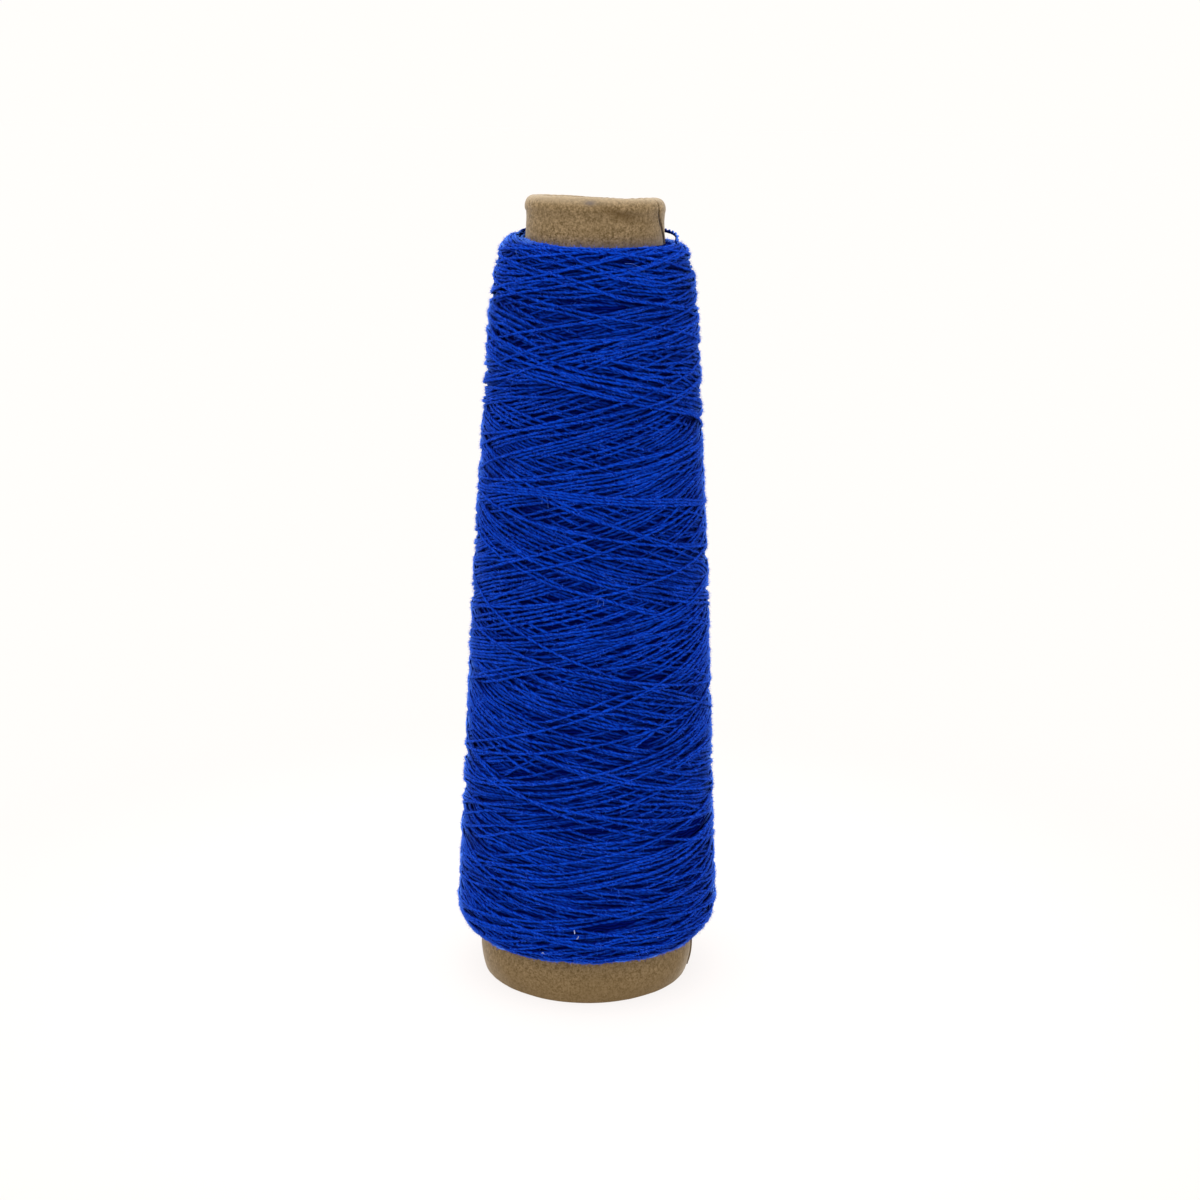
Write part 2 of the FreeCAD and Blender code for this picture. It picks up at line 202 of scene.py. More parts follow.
def newTree(name, inputs):
    # a Geometry Nodes tree with named number inputs, and its two end nodes
    tree = bpy.data.node_groups.new(name, "GeometryNodeTree")
    tree.interface.new_socket("Geometry", in_out="INPUT", socket_type="NodeSocketGeometry")
    tree.interface.new_socket("Geometry", in_out="OUTPUT", socket_type="NodeSocketGeometry")
    for label, value in inputs.items():
        kind = "NodeSocketInt" if isinstance(value, int) else "NodeSocketFloat"
        tree.interface.new_socket(label, in_out="INPUT", socket_type=kind).default_value = value
    return tree, node(tree, "NodeGroupInput"), node(tree, "NodeGroupOutput")


def finishTree(tree, end, geometry, material):
    realized = node(tree, "GeometryNodeRealizeInstances", {0: geometry}).outputs[0]
    painted = node(tree, "GeometryNodeSetMaterial", {"Geometry": realized, "Material": material})
    tree.links.new(painted.outputs[0], end.inputs[0])
    return tree


def runTree(tree, name, mesh, values):
    # a plain object with what the tree makes of a mesh
    source = addObject(name + "_source", mesh)
    modifier = source.modifiers.new("Shape", "NODES")
    modifier.node_group = tree
    for item in tree.interface.items_tree:
        if item.item_type == "SOCKET" and item.in_out == "INPUT" and item.name in values:
            modifier[item.identifier] = values[item.name]
    depsgraph = bpy.context.evaluated_depsgraph_get()
    result = bpy.data.meshes.new_from_object(source.evaluated_get(depsgraph), depsgraph=depsgraph)
    source.modifiers.clear()
    bpy.data.objects.remove(source)
    result.name = name
    return addObject(name, tidied(result))


# the camera, where the photograph was taken from

view = {
    "focalLength": 59.94,            # mm on a 36 mm sensor
    "place": (0.0021, -0.4204, 0.1925),
    "lookDown": 14.41,               # degrees
    "roll": 0.695,
}


def makeCamera():
    data = bpy.data.cameras.new("view")
    data.lens = view["focalLength"]
    data.sensor_width = 36.0
    data.clip_start = 0.01
    camera = addObject("view", data)
    tilt = Matrix.Rotation(math.radians(90 - view["lookDown"]), 4, "X")
    roll = Matrix.Rotation(math.radians(view["roll"]), 4, "Z")
    camera.matrix_world = Matrix.Translation(view["place"]) @ tilt @ roll
    bpy.context.scene.camera = camera


makeCamera()

# the thread, which every blue piece is made of

thread = {
    "bright": (0.0016, 0.049, 0.49),     # fibres on the outside
    "side": (0.0001, 0.0055, 0.145),     # painted shade on the strand's flanks
    "deep": (0.0, 0.0006, 0.055),        # painted shade far down between the strands
    "paintedSheen": (0.10, 0.27, 1.0),           # painted sheen of loose fibres where the winding is seen edge-on
    "paintedSheenFalloff": 9.0,                  # how fast it fades away from there
    "width": 0.66 * mm,                  # over both plies
    "thickness": 0.38 * mm,
    "waist": 0.52 * mm,                  # between the plies
    "layLength": 3.2 * mm,               # one turn of the two plies
    "pressed": 0.29 * mm,                # what a strand adds where it crosses others
    "sides": 6,                          # of its section: two at the waist and two for each ply
}


def makeThreadMaterial():
    # matt dyed fibre, with painted shade on a strand's flanks, in the groove between its plies and where it
    # lies low
    material, tree, shader = newMaterial(
        "blueThread", Roughness=0.9, Specular_IOR_Level=0.03, Sheen_Weight=0.10, Sheen_Roughness=0.35,
        Sheen_Tint=(0.03, 0.22, 1.0, 1.0),
    )
    places = objectPlaces(tree)
    normal = node(tree, "ShaderNodeNewGeometry").outputs["Normal"]
    out = attribute(tree, "out", "Vector")
    depth = attribute(tree, "depth")
    facing = vectors(tree, "DOT_PRODUCT", normal, out)
    # painted shade on the strand's flanks, a little weaker where the strand lies near the top
    flankShade = rescale(tree, facing, 0.2, 0.97, 1.15, 0.0, smooth=True)
    flankShade = maths(tree, "MULTIPLY", flankShade, rescale(tree, depth, 0.0, 0.4, 0.84, 1.0))

    # the groove between the plies winds about the strand, with painted shade in it
    sideways = vectors(tree, "CROSS_PRODUCT", attribute(tree, "way", "Vector"), out)
    across = vectors(tree, "DOT_PRODUCT", normal, sideways)
    along = attribute(tree, "along")
    turned = maths(tree, "MULTIPLY", along, 2 * math.pi / thread["layLength"])
    about = maths(tree, "SUBTRACT", maths(tree, "ARCTAN2", across, facing), turned)
    twist = maths(tree, "SINE", maths(tree, "MULTIPLY", about, 2.0))
    groove = rescale(tree, twist, -0.2, 1.0, 0.0, 0.5, smooth=True)

    # fibres run along the plies: the noise is stretched that way
    lengthwise = combined(
        tree, maths(tree, "MULTIPLY", along, 700.0), maths(tree, "MULTIPLY", about, 1.1),
        maths(tree, "MULTIPLY", xyz(tree, places)["Z"], 600.0),
    )
    fibres = noise(tree, lengthwise, 1.0, 3.0)
    cloud = noise(tree, places, 120.0, 2.0)
    flecked = maths(tree, "ADD", groove, rescale(tree, fibres, 0.36, 0.66, -0.50, 0.60))
    # painted shade where the strand lies low under others, made patchy by a cloud
    low = maths(tree, "ADD", depth, rescale(tree, cloud, 0.35, 0.65, -0.12, 0.12))
    outer = mixColour(tree, maths(tree, "ADD", flankShade, flecked), thread["bright"], thread["side"])
    inner = mixColour(tree, low, outer, thread["deep"])

    # a painted sheen for loose fibres at the winding's outline, on whatever side that is seen
    edgeOn = node(tree, "ShaderNodeLayerWeight", {"Normal": out}).outputs["Facing"]
    paintedSheen = maths(tree, "POWER", edgeOn, thread["paintedSheenFalloff"])
    paintedSheen = maths(tree, "MULTIPLY", paintedSheen, rescale(tree, facing, 0.0, 0.5))
    feed(tree, shader.inputs["Base Color"], mixColour(tree, paintedSheen, inner, thread["paintedSheen"]))
    feed(tree, shader.inputs["Normal"], bump(tree, fibres, 0.05 * mm, 0.5))
    return material


threadMaterial = makeThreadMaterial()


def makeStrandTree():
    # sweeps a section of two plies along a path, turning as it goes
    tree, start, end = newTree("layStrand", {
        "Strand width": thread["width"], "Ply thickness": thread["thickness"],
        "Waist": thread["waist"], "Lay length": thread["layLength"], "Section points": thread["sides"],
    })
    given = start.outputs
    path = node(tree, "GeometryNodeMeshToCurve", {"Mesh": given["Geometry"]}).outputs[0]
    turns = maths(tree, "DIVIDE", storedValue(tree, "along"), given["Lay length"])
    tilt = maths(tree, "MULTIPLY", turns, 2 * math.pi)
    tilted = node(tree, "GeometryNodeSetCurveTilt", {"Curve": path, "Tilt": tilt}).outputs[0]

    # two points of the circle make the waist, the others the corners of both plies
    circle = node(tree, "GeometryNodeCurvePrimitiveCircle", {
        "Radius": 1.0, "Resolution": given["Section points"],
    }).outputs[0]
    place = xyz(tree, node(tree, "GeometryNodeInputPosition").outputs[0])
    atWaist = maths(tree, "GREATER_THAN", maths(tree, "ABSOLUTE", place["X"]), 0.9)
    waist = maths(tree, "MULTIPLY", given["Waist"], 0.5)
    reach = maths(
        tree, "ADD", maths(tree, "MULTIPLY", waist, atWaist),
        maths(tree, "MULTIPLY", given["Ply thickness"], maths(tree, "SUBTRACT", 1.0, atWaist)),
    )
    half = maths(tree, "MULTIPLY", given["Strand width"], 0.5 / math.sin(math.pi / 3))
    section = combined(
        tree, maths(tree, "MULTIPLY", place["X"], reach), maths(tree, "MULTIPLY", place["Y"], half)
    )
    shaped = node(tree, "GeometryNodeSetPosition", {"Geometry": circle, "Position": section})
    swept = node(tree, "GeometryNodeCurveToMesh", {
        "Curve": tilted, "Profile Curve": shaped.outputs[0], "Fill Caps": True,
    })
    return finishTree(tree, end, swept.outputs[0], threadMaterial)


strandTree = makeStrandTree()


def pathMesh(name, paths):
    # open lines for the strand tree: for each its points, how deep they lie and the way out there
    counts = [len(points) for points, _, _ in paths]
    starts = np.concatenate([[0], np.cumsum(counts)])
    edges = np.concatenate([
        np.stack([np.arange(count - 1), np.arange(1, count)], 1) + start
        for count, start in zip(counts, starts)
    ])
    mesh = meshFrom(name, np.concatenate([path[0] for path in paths]), edges)
    way = np.concatenate([np.gradient(path[0], axis=0) for path in paths])
    setAttribute(mesh, "along", np.concatenate([lengthsAlong(path[0]) for path in paths]))
    setAttribute(mesh, "depth", np.concatenate([path[1] for path in paths]))
    setAttribute(mesh, "out", np.concatenate([path[2] for path in paths]))
    setAttribute(mesh, "way", way / np.linalg.norm(way, axis=1)[:, None])
    return mesh


def layUv(mesh, rings, proportion):
    # a flat map for exports, in which the strand lies cut into strips side by side
    sides = thread["sides"]
    count = len(mesh.polygons)
    starts = np.empty(count, int)
    totals = np.empty(count, int)
    corner = np.empty(len(mesh.loops), int)
    mesh.polygons.foreach_get("loop_start", starts)
    mesh.polygons.foreach_get("loop_total", totals)
    mesh.loops.foreach_get("vertex_index", corner)
    face = np.repeat(np.arange(count), totals)
    ring, column = corner // sides, corner % sides
    wraps = np.maximum.reduceat(column, starts) - np.minimum.reduceat(column, starts) == sides - 1
    column = np.where(wraps[face] & (column == 0), sides, column)
    strip = (np.minimum.reduceat(ring, starts) // rings)[face]
    down = max(1, math.ceil(math.sqrt((strip.max() + 1) / proportion)))
    across = math.ceil((strip.max() + 1) / down)
    cap = (totals > 4)[face]
    shareAcross = column / sides * 0.9
    shareDown = (ring - strip * rings) / rings * 0.98 + np.where(cap, 0.004 * np.sin(column), 0)
    uv = np.stack([(strip % across + shareAcross) / across, (strip // across + shareDown) / down], 1)
    mesh.uv_layers.new(name="OFBake").data.foreach_set("uv", np.clip(uv, 0, 1).ravel())


# the free end, which leaves the top of the winding and lies round the back of the nose

tail = {
    "route": [                       # mm
        (16.95, -2.10, 161.45), (17.35, -0.85, 162.35), (16.90, 1.05, 163.00), (15.80, 3.65, 163.35),
        (13.40, 8.10, 163.55), (8.60, 13.20, 163.55), (1.60, 15.60, 163.45), (-5.80, 14.60, 163.40),
        (-11.60, 10.50, 163.35), (-14.75, 5.60, 163.15), (-15.65, 2.50, 162.75), (-15.80, 0.45, 162.00),
    ],
    "width": 0.76 * mm,
    "thickness": 0.46 * mm,
    "waist": 0.34 * mm,
    "layLength": 3.2 * mm,
    "step": 0.22 * mm,
}


def tailLine():
    # the points of the spline that has the route as its control points
    curve = bpy.data.curves.new("tail_route", "CURVE")
    curve.dimensions = "3D"
    curve.resolution_u = 24
    spline = curve.splines.new("NURBS")
    spline.points.add(len(tail["route"]) - 1)
    for point, place in zip(spline.points, tail["route"]):
        point.co = (place[0] * mm, place[1] * mm, place[2] * mm, 1.0)
    spline.order_u = 3
    spline.use_endpoint_u = True
    route = addObject("tail_route", curve)
    depsgraph = bpy.context.evaluated_depsgraph_get()
    mesh = bpy.data.meshes.new_from_object(route.evaluated_get(depsgraph), depsgraph=depsgraph)
    points = np.array([vertex.co[:] for vertex in mesh.vertices])
    bpy.data.meshes.remove(mesh)
    bpy.data.objects.remove(route)
    return evenPoints(points, tail["step"])


def makeTail():
    points = tailLine()
    out = points * (1, 1, 0)
    out = out / np.linalg.norm(out, axis=1)[:, None] * 0.7 + (0, 0, 0.7)
    mesh = pathMesh("tail", [(points, np.zeros(len(points)), out)])
    values = {
        "Strand width": tail["width"], "Ply thickness": tail["thickness"], "Waist": tail["waist"],
        "Lay length": tail["layLength"],
    }
    piece = runTree(strandTree, "tail", mesh, values)
    layUv(piece.data, rings=60, proportion=10)
    return piece, points


tailPiece, tailPoints = makeTail()

# the outside of the winding, from its lower inner edge up the flank to its upper inner edge

package = {
    # radius and height in mm, on the outside of the thread
    "outline": [
        (23.7, 10.9), (25.6, 10.7), (27.3, 11.9), (28.45, 14.4), (28.75, 18.0), (28.3, 27.0),
        (27.2, 50.0), (25.3, 91.0), (23.6, 118.0), (22.2, 143.0), (21.3, 151.5), (20.5, 156.5),
        (19.4, 160.0), (17.6, 161.6), (14.75, 161.8),
    ],
    "passes": 140,                       # once up or down the flank
    "bandPasses": (5, 16),               # double passes that follow each other side by side
    "bandTurns": (8.0, 16.0),            # round the paper, for up and down together
    "rising": (0.42, 0.58),              # the share of them on the way up
    "uneven": (0.010, 1.0 * mm),         # from pass to pass, in turns and in where it ends
    "apart": 0.026,                      # of a turn, from one double pass to the next
    "margin": (0.3 * mm, 7.0 * mm),      # from a turning point to the edge of the winding
    "tries": 40,                         # plans of a band: the one over the lowest place is laid
    "bandDrift": [(1.6, 1.2), (0.7, 0.5)],                   # period in turns, size in mm
    "ownDrift": [(1.3, 0.30), (0.45, 0.24), (0.13, 0.10)],   # of each pass by itself
    "pointsRound": 330,                  # of a pass as it is drawn
    "topPasses": 7,                      # that lie apart from each other over all these
    "topTurns": (3.2, 5.4),
    "topMargin": 3 * mm,                 # from where they turn to the edge of the winding
    "endGap": 0.2 * mm,                  # that every strand keeps from the outline's ends
    "topShift": [                        # bearing in degrees, mm by which the upper edge is moved up
        (0, -0.7), (50, -0.3), (120, 0.3), (150, 1.1), (185, 1.2), (215, 0.2), (250, -0.4), (330, -0.6),
    ],
    "topReach": 7.0 * mm,                # how far down the flank that is felt
    "proud": (-0.12 * mm, 0.35),         # strands above this height are pressed to a share of the rest
    "rowStep": 0.24 * mm,                # cells of the bed, along the outline
    "columns": 400,                      # and all round
    "skinReach": (7, 8),                 # in such cells, along the outline and round
    "shoulder": 0.06 * mm,               # by which a strand lies lower beside a height than on it
    "slideCost": 0.06 * mm,              # of height, for a slide of 1 mm
    "pulls": 120,                        # that draw a strand tight over those below
    "slide": 2.4 * mm,                   # sideways, into a lower place
    "step": 0.75 * mm,                   # between points along the strand
    "covered": 0.03 * mm,                # a strand that lies this far under all around isn't made
    "deepest": (1.1 * mm, 2.0 * mm),     # under other strands and under the skin: deepest in painted shade
    "pieceTriangles": 190000,
    "meshLay": 7.5 * mm,                 # one turn of the section: the plies are drawn by the material
    "seed": 11,
}

# the last three passes as the photograph shows them: bearing in degrees and height in mm
lastPasses = [
    [
        (20, 160.9), (80, 160.6), (192, 158.7), (221, 157.7), (243, 156.4), (261, 155.0), (279, 152.4),
        (295, 151.0), (380, 147.0), (470, 145.0), (561, 142.5), (587, 141.1), (606, 139.3), (622, 137.4),
        (640, 135.9), (655, 134.5), (694, 130.2), (900, 111.0), (1200, 88.0), (1500, 62.0), (1800, 38.0),
        (2050, 18.0), (2120, 13.5), (2170, 12.0),
    ],
    [
        (10, 12.0), (60, 13.5), (180, 22.0), (420, 41.0), (700, 66.0), (940, 87.0), (1200, 108.0),
        (1500, 124.0), (1642, 133.4), (1674, 137.1), (1693, 140.2), (1713, 142.8), (1731, 144.3),
        (1749, 146.2), (1778, 148.7), (1900, 156.0), (1990, 159.8), (2040, 161.0),
    ],
    [
        (240, 161.0), (300, 159.6), (420, 150.0), (700, 131.0), (870, 117.5), (912, 111.6), (938, 112.3),
        (964, 112.9), (986, 112.4), (1012, 111.4), (1040, 110.1), (1078, 107.6), (1160, 107.4),
        (1272, 110.5), (1298, 111.6), (1324, 112.4), (1346, 111.8), (1372, 110.8), (1400, 109.5),
        (1438, 107.0), (1520, 107.0), (1632, 109.9), (1658, 111.1), (1684, 111.9), (1706, 111.2),
        (1732, 110.2), (1760, 108.9), (1800, 107.6), (1880, 113.0), (2100, 130.0), (2300, 146.0),
        (2420, 154.5), (2480, 159.0), (2513, 161.65),
    ],
]


def packageLine(outline, step):
    # the outline sampled evenly: lengths along it, radius and height there, and the way out
    fine = smoothLine(outline, 40) * mm
    along = lengthsAlong(fine)
    stations = np.arange(0, along[-1], step)
    places = np.stack([np.interp(stations, along, fine[:, k]) for k in (0, 1)], 1)
    way = np.gradient(places, axis=0)
    way /= np.linalg.norm(way, axis=1)[:, None]
    return stations, places, np.stack([way[:, 1], -way[:, 0]], 1)


stations, flankPlaces, flankOut = packageLine(package["outline"], 0.05 * mm)
flankLength = stations[-1]


def stationAt(height):
    rising = flankPlaces[:, 1].argmin()
    return np.interp(height, flankPlaces[rising:, 1], stations[rising:])


def wander(chance, turned, period, size):
    # a slow random drift along the strand
    knots = np.arange(turned[0], turned[-1] + 3 * period, period)
    values = chance.normal(0, size, len(knots))
    at = (turned - knots[0]) / period
    k = np.clip(at.astype(int), 0, len(knots) - 2)
    share = eased(at - k)
    return values[k] * (1 - share) + values[k + 1] * share


def evenPass(turned, along):
    # the same pass in points that are evenly apart along the strand
    radius = np.interp(along, stations, flankPlaces[:, 0])
    travelled = np.hypot(np.diff(turned) * 2 * np.pi * radius[1:], np.diff(along))
    travelled = np.concatenate([[0], np.cumsum(travelled)])
    even = np.arange(0, travelled[-1], package["step"])
    return np.interp(even, travelled, turned), np.interp(even, travelled, along)


def planBand(chance):
    # the passes of one band: for each its turns and where it ends
    each = round(chance.uniform(*package["bandTurns"]))
    each += chance.choice([-1, 1]) * package["apart"] * chance.uniform(0.7, 1.5)
    up = each * chance.uniform(*package["rising"])
    unevenTurns, unevenEnds = package["uneven"]
    nearest, farthest = package["margin"]
    ends = nearest + (farthest - nearest) * chance.uniform(0, 1, 2) ** 2
    drift = int(chance.integers(1 << 30))
    plan = []
    for _ in range(int(chance.integers(*package["bandPasses"]))):
        plan.append((up + chance.normal(0, unevenTurns), flankLength - ends[0], drift))
        plan.append((each - up + chance.normal(0, unevenTurns), ends[1], drift))
        ends = np.abs(ends - nearest + chance.normal(0, unevenEnds, 2)) + nearest
        ends = np.clip(ends, nearest, farthest)
    plan[0] = (plan[0][0] + chance.uniform(-0.5, 0.5), *plan[0][1:])
    return plan


def onFlank(along):
    return np.clip(along, package["endGap"], flankLength - package["endGap"])


def drawPass(chance, start, place, turns, end, drift):
    # one pass as turns and lengths along the outline, with its band's drift and its own
    share = np.linspace(0, 1, int(turns * package["pointsRound"]), endpoint=False)
    turned = start + turns * share
    along = place + (end - place) * (share - 0.5 * np.sin(2 * np.pi * share) / (2 * np.pi))
    band = np.random.default_rng(drift + int(end > place))
    fade = np.minimum(1, np.minimum(share, 1 - share) * turns * 3)
    for source, drifts in ((band, package["bandDrift"]), (chance, package["ownDrift"])):
        for period, size in drifts:
            along = along + fade * wander(source, turned, period, size * mm)
    return turned, onFlank(along)


def windowMean(values, width):
    return np.convolve(np.pad(values, width // 2, mode="edge"), np.ones(width) / width, "valid")


def shifted(grid, axis, reach):
    # a grid moved by each step up to a reach, along the outline or round it
    pad = [(0, 0), (0, 0)]
    pad[axis] = (reach, reach)
    wide = np.pad(grid, pad, mode="wrap" if axis else "edge")
    return [np.take(wide, range(k, k + grid.shape[axis]), axis) for k in range(2 * reach + 1)]


class Bed:
    # the heights that the strands laid so far reach, along the outline and all round

    def __init__(self):
        self.rowStep = package["rowStep"]
        self.columns = package["columns"]
        self.rows = int(flankLength / self.rowStep) + 2
        self.height = np.zeros((self.rows, self.columns))
        self.half = 0.5 * thread["pressed"]

    def cells(self, turned, along):
        row = np.clip(np.rint(along / self.rowStep).astype(int), 1, self.rows - 2)
        column = np.floor((turned % 1) * self.columns).astype(int) % self.columns
        return row, column

    def settled(self, turned, along):
        # a strand slides sideways into the lowest place near it
        shifts = np.linspace(-1, 1, 13) * package["slide"]
        ways = np.array([self.height[self.cells(turned, along + shift)] for shift in shifts])
        cost = package["slideCost"] * (shifts[:, None] / mm) ** 2
        ways = np.array([windowMean(way, 21) for way in ways]) + cost
        return onFlank(along + windowMean(shifts[ways.argmin(0)], 17))

    def lay(self, turned, along):
        # lays a strand on what is there, pulled tight, and gives the height of its middle
        row, column = self.cells(turned, along)
        under = np.maximum.reduce([
            self.height[row, column],
            self.height[row - 1, column] - package["shoulder"],
            self.height[row + 1, column] - package["shoulder"],
        ])
        rest = under + self.half
        fall = package["step"] ** 2 / (2 * np.interp(along, stations, flankPlaces[:, 0]))
        middle = rest.copy()
        for _ in range(package["pulls"]):
            pulled = (middle[:-2] + middle[2:]) / 2 - fall[1:-1]
            middle[1:-1] = np.maximum(rest[1:-1], pulled)
        between = [(values[1:] + values[:-1]) / 2 for values in (turned, along, middle)]
        for turns, places, heights in ((turned, along, middle), between):
            row, column = self.cells(turns, places)
            for shift, drop in ((0, 0.0), (-1, 0.4), (1, 0.4)):
                np.maximum.at(self.height, (row + shift, column), heights + self.half * (1 - drop))
        return middle

    def around(self, grid, rowReach, columnReach, choose):
        # for every cell the highest or lowest value near it
        for axis, reach in ((0, rowReach), (1, columnReach)):
            grid = choose.reduce(shifted(grid, axis, reach))
        return grid

    def level(self, rowReach, columnReach):
        # a smooth skin over the highest strands that follows wide hollows and not narrow ones
        grid = self.around(self.height, rowReach, columnReach, np.maximum)
        grid = self.around(grid, rowReach, columnReach, np.minimum)
        for _ in range(2):
            for axis, reach in ((0, rowReach), (1, columnReach)):
                grid = sum(shifted(grid, axis, reach)) / (2 * reach + 1)
        return grid


def windPackage():
    # every pass in the order in which it is wound, and the skin over all but the last
    chance = np.random.default_rng(package["seed"])
    bed = Bed()
    laid = []
    margin = package["topMargin"]
    start, place = 0.0, margin

    def laidOver(plan):
        row, column = bed.cells(*drawPass(np.random.default_rng(0), start, place, *plan[0]))
        return bed.height[row, column].mean()

    def lay(turned, along, settles=True):
        turned, along = evenPass(turned, along)
        if settles:
            along = bed.settled(turned, along)
        laid.append((turned, along, bed.lay(turned, along)))

    while len(laid) < package["passes"]:
        band = min((planBand(chance) for _ in range(package["tries"])), key=laidOver)
        for turns, end, drift in band:
            lay(*drawPass(chance, start, place, turns, end, drift))
            start, place = start + turns, end
    for number in range(package["topPasses"]):
        end = flankLength - margin if number % 2 == 0 else margin
        turns = chance.uniform(*package["topTurns"])
        lay(*drawPass(chance, start, place, turns, end, int(chance.integers(1 << 30))), settles=False)
        start, place = start + turns, end
    for waypoints in lastPasses[:-1]:
        line = smoothLine(waypoints, 30)
        lay(line[:, 0] / 360, stationAt(line[:, 1] * mm), settles=False)
    skin = bed.level(*package["skinReach"])
    line = smoothLine(lastPasses[-1], 30)
    lay(line[:, 0] / 360, stationAt(line[:, 1] * mm), settles=False)
    return bed, laid, skin


bed, laid, skin = windPackage()
laidLength = sum(len(turned) for turned, _, _ in laid) * package["step"]
print(f"wound: {len(laid)} passes, {laidLength:.1f} m of strand, {bed.height.mean() / mm:.2f} mm deep")


def skinAt(turned, along):
    row = np.clip(along / bed.rowStep, 0, bed.rows - 1.001)
    column = (turned % 1) * bed.columns - 0.5
    r, c = np.floor(row).astype(int), np.floor(column).astype(int)
    u, v = row - r, column - c
    left, right = c % bed.columns, (c + 1) % bed.columns
    return (
        skin[r, left] * (1 - u) * (1 - v) + skin[r + 1, left] * u * (1 - v)
        + skin[r, right] * (1 - u) * v + skin[r + 1, right] * u * v
    )


def inSpace(turned, along, middle):
    # points of a pass and the way out there. The skin is pulled in to the package's outline.
    angle = turned * 2 * np.pi
    height = middle - skinAt(turned, along)
    proud, kept = package["proud"]
    height = np.minimum(height, proud + kept * (height - proud))
    place = [np.interp(along, stations, flankPlaces[:, k]) for k in (0, 1)]
    out = [np.interp(along, stations, flankOut[:, k]) for k in (0, 1)]
    radius = place[0] + out[0] * height
    bearing, shift = np.array(package["topShift"]).T
    nearTop = ramp(flankLength - along, package["topReach"], 0)
    upward = np.interp(turned % 1 * 360, bearing, shift, period=360) * mm * eased(nearTop)
    rise = place[1] + out[1] * height + upward
    points = np.stack([radius * np.cos(angle), radius * np.sin(angle), rise], 1)
    return points, np.stack([out[0] * np.cos(angle), out[0] * np.sin(angle), out[1]], 1)


def shownRuns(mask, spare, shortest):
    # where the stretches that show start and end, each a little longer than what shows
    wide = np.convolve(mask, np.ones(2 * spare + 1), "same") > 0
    change = np.flatnonzero(np.diff(np.concatenate([[0], wide.astype(int), [0]])))
    return [(a, b) for a, b in zip(change[::2], change[1::2]) if b - a >= shortest]


def strandRuns():
    # the stretches of all passes that aren't wholly covered, the deepest first
    lowest = bed.around(bed.height, 1, 1, np.minimum)
    deepUnder, deepInside = package["deepest"]
    runs = []
    for turned, along, middle in laid:
        row, column = bed.cells(turned, along)
        covered = lowest[row, column] > middle + bed.half + package["covered"]
        over = np.maximum(bed.height[row, column] - middle - bed.half, 0) / deepUnder
        under = np.maximum(skinAt(turned, along) - middle, 0) / deepInside
        depth = windowMean(np.clip(over + under, 0, 1), 5)
        points, out = inSpace(turned, along, middle)
        for first, last in shownRuns(~covered, 3, 7):
            runs.append((points[first:last], depth[first:last], out[first:last]))
    return runs


runs = strandRuns()


def makeWinding():
    # the strands in pieces of a limited size, the deepest first
    made, batch = [], []
    limit = package["pieceTriangles"] // (2 * thread["sides"])
    for run in runs + [None]:
        full = batch and (run is None or sum(len(b[0]) for b in batch) + len(run[0]) > limit)
        if full:
            name = f"winding_{len(made) + 1}"
            piece = runTree(strandTree, name, pathMesh(name, batch), {"Lay length": package["meshLay"]})
            layUv(piece.data, rings=40, proportion=12)
            made.append(piece)
            batch = []
        batch.append(run)
    return made


winding = makeWinding()
faceCount = sum(len(piece.data.polygons) for piece in winding)
print(f"winding: {len(runs)} stretches, {len(winding)} pieces, {faceCount * 2} triangles")

# surfaces of revolution


def revolve(name, rings):
    # a closed skin through rings of points
    rows, columns = rings.shape[:2]
    k, c = np.meshgrid(np.arange(rows), np.arange(columns), indexing="ij")
    nextRow, nextColumn = (k + 1) % rows, (c + 1) % columns
    faces = np.stack([
        k * columns + c, k * columns + nextColumn, nextRow * columns + nextColumn, nextRow * columns + c
    ], -1).reshape(-1, 4)
    return tidied(meshFrom(name, rings.reshape(-1, 3), faces=faces))


core = {
    "under": 1.0 * mm,                   # below the outside of the strands
    "edge": (5.0 * mm, 0.45),            # near both edges, less deep by this share
    "columns": 128,
    "paperRadius": 24.1 * mm,            # at the floor
    "paperTaper": 0.06,
    "seat": 0.28 * mm,                   # round the paper
    # the thread's blue in painted shade, as it shows down between the strands
    "colour": (0.0004, 0.0055, 0.13),
}


def makeCore():
    # the thread under the strands: a closed ring round the paper, seen only between them
    every = 40
    reach, less = core["edge"]
    nearEnd = ramp(np.minimum(stations, flankLength - stations), reach, 0)[:, None]
    outer = (flankPlaces - flankOut * core["under"] * (1 - less * nearEnd))[every // 2::every]
    heights = np.linspace(outer[-1, 1], outer[0, 1], 40)
    inner = np.stack([core["paperRadius"] - core["paperTaper"] * heights + core["seat"], heights], 1)
    outline = np.concatenate([outer, inner])
    angle = np.arange(core["columns"]) / core["columns"] * 2 * np.pi
    rings = np.stack([
        outline[:, :1] * np.cos(angle), outline[:, :1] * np.sin(angle),
        np.repeat(outline[:, 1:], len(angle), axis=1),
    ], -1)
    piece = addObject("wound_core", revolve("wound_core", rings))
    # painted shade: darker still in the wave's bands between the strand lines
    material, tree, shader = newMaterial("threadInShade", Roughness=1.0, Specular_IOR_Level=0.0)
    lines = node(tree, "ShaderNodeTexWave", {
        "Vector": objectPlaces(tree), "Scale": 420.0, "Distortion": 6.0, "Detail": 2.0,
    }, bands_direction="Z").outputs["Fac"]
    darker = tuple(value * 0.4 for value in core["colour"])
    feed(tree, shader.inputs["Base Color"], mixColour(tree, lines, darker, core["colour"]))
    feed(tree, shader.inputs["Normal"], bump(tree, lines, 0.2 * mm))
    piece.data.materials.append(material)
    return piece


woundCore = makeCore()
print("core made")

# the rolled paper cone with its turned-in nose

